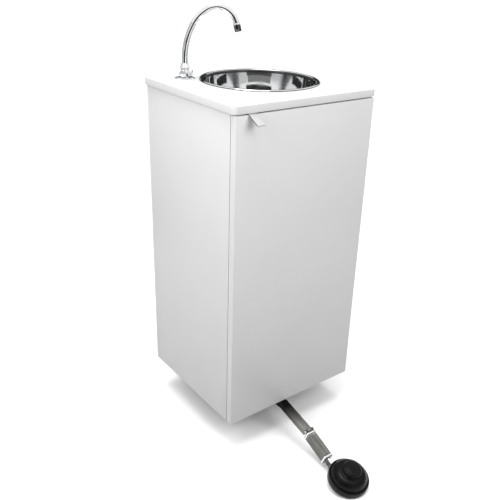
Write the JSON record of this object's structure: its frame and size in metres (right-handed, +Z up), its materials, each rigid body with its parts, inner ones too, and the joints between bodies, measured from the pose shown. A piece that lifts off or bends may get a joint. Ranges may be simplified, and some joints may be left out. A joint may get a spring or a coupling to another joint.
{
  "type": "portable handwash sink",
  "caption": "Free-standing portable handwash sink: white cabinet with a hinged door, round steel basin, swivel gooseneck spout and a foot pump on a folding arm.",
  "frame": {"origin": "on the floor, at the middle of the whole footprint, pump included", "axes": "the door faces -Y, +Z is up, +X is to the right seen from the back; the foot pump stands out towards -Y"},
  "size_m": [0.42, 0.6982, 1.0849],
  "materials": {
    "white_board": "white laminate on board, edges banded, low sheen",
    "zinc_steel": "zinc plated",
    "stainless": "mirror-polished stainless steel",
    "bar_steel": "drawn steel, dull",
    "sleeve_aluminium": "ribbed extrusion, satin",
    "bright_metal": "bright nickel plate",
    "chrome": "polished chrome plate",
    "brass": "machined brass",
    "black_rubber": "moulded, low sheen",
    "grey_plastic": "moulded plastic",
    "grey_tyre": "solid rubber wheel",
    "white_plastic": "white moulded plastic",
    "can_plastic": "translucent natural polyethylene",
    "blue_plastic": "moulded plastic",
    "clear_hose": "clear flexible hose"
  },
  "bodies": {
    "cabinet": {"countertop": "white_board", "left_side_panel": "white_board", "right_side_panel": "white_board", "back_panel": "white_board", "base_panel": "white_board", "front_rail": "white_board", "rear_rail": "white_board", "corner_brackets": "zinc_steel", "bracket_screws": "zinc_steel", "basin": "stainless", "basin_gasket": "black_rubber", "basin_clips": "zinc_steel", "drain_strainer": "stainless", "drain_nut": "grey_plastic", "drain_tailpiece": "grey_plastic", "waste_hose": "grey_plastic", "tap_flange": "chrome", "tap_body": "chrome", "spout_nut": "chrome", "tap_shank": "brass", "tap_lock_nut": "brass", "fresh_water_can": "can_plastic", "fresh_can_cap": "blue_plastic", "waste_water_can": "can_plastic", "waste_can_cap": "grey_plastic", "water_hose": "clear_hose", "air_hose": "clear_hose", "hose_nipple": "brass", "hinge_frame_leaves": "zinc_steel", "hinge_pins": "zinc_steel", "magnetic_catch": "grey_plastic", "arm_bar": "bar_steel", "arm_clamps": "zinc_steel", "clamp_screws": "zinc_steel", "arm_knuckle": "bar_steel", "arm_pin": "zinc_steel", "wheel_brackets": "zinc_steel", "wheel_axles": "zinc_steel", "foot_posts": "zinc_steel", "foot_pads": "black_rubber"},
    "door": {"door_panel": "white_board", "door_pull": "white_plastic", "pull_screws": "zinc_steel", "hinge_door_leaves": "zinc_steel", "catch_plate": "zinc_steel"},
    "swivel_spout": {"spout": "chrome", "aerator": "chrome"},
    "lever": {"tap_lever": "chrome"},
    "pedal_arm": {"arm_sleeve": "sleeve_aluminium", "sleeve_rims": "bright_metal", "pump_pipe": "bar_steel", "union_nut": "bright_metal", "pump_base": "black_rubber", "pump_clamp_ring": "black_rubber", "pump_dome": "black_rubber", "pump_spring": "zinc_steel"},
    "foot_button": {"pump_button": "black_rubber"},
    "left_rear_wheel": {"left_wheel": "grey_tyre"},
    "right_rear_wheel": {"right_wheel": "grey_tyre"}
  },
  "joints": [
    {"name": "door_swing", "type": "hinge", "parent": "cabinet", "child": "door", "pos_m": [0.2069, -0.01634, 0.5015], "axis": [0, 0, 1], "range_deg": [0, 110]},
    {"name": "spout_swivel", "type": "hinge", "parent": "cabinet", "child": "swivel_spout", "pos_m": [-0.131, 0.28306, 0.94], "axis": [0, 0, 1], "continuous": true},
    {"name": "lever_turn", "type": "hinge", "parent": "cabinet", "child": "lever", "pos_m": [-0.1201, 0.27598, 0.923], "axis": [0.8387, -0.5446, 0], "range_deg": [0, 90]},
    {"name": "pedal_fold", "type": "hinge", "parent": "cabinet", "child": "pedal_arm", "pos_m": [-0.0305, -0.14586, 0.06738], "axis": [-1, 0, 0], "range_deg": [0, 100]},
    {"name": "pump_press", "type": "slide", "parent": "pedal_arm", "child": "foot_button", "axis": [0, 0.2588, -0.9659], "range_m": [0, 0.018], "stiffness_N_per_m": 2500, "deforming": ["pump_dome", "pump_spring"]},
    {"name": "left_wheel_spin", "type": "hinge", "parent": "cabinet", "child": "left_rear_wheel", "pos_m": [-0.12, 0.26605, 0.0375], "axis": [1, 0, 0], "continuous": true},
    {"name": "right_wheel_spin", "type": "hinge", "parent": "cabinet", "child": "right_rear_wheel", "pos_m": [0.12, 0.26605, 0.0375], "axis": [1, 0, 0], "continuous": true}
  ]
}
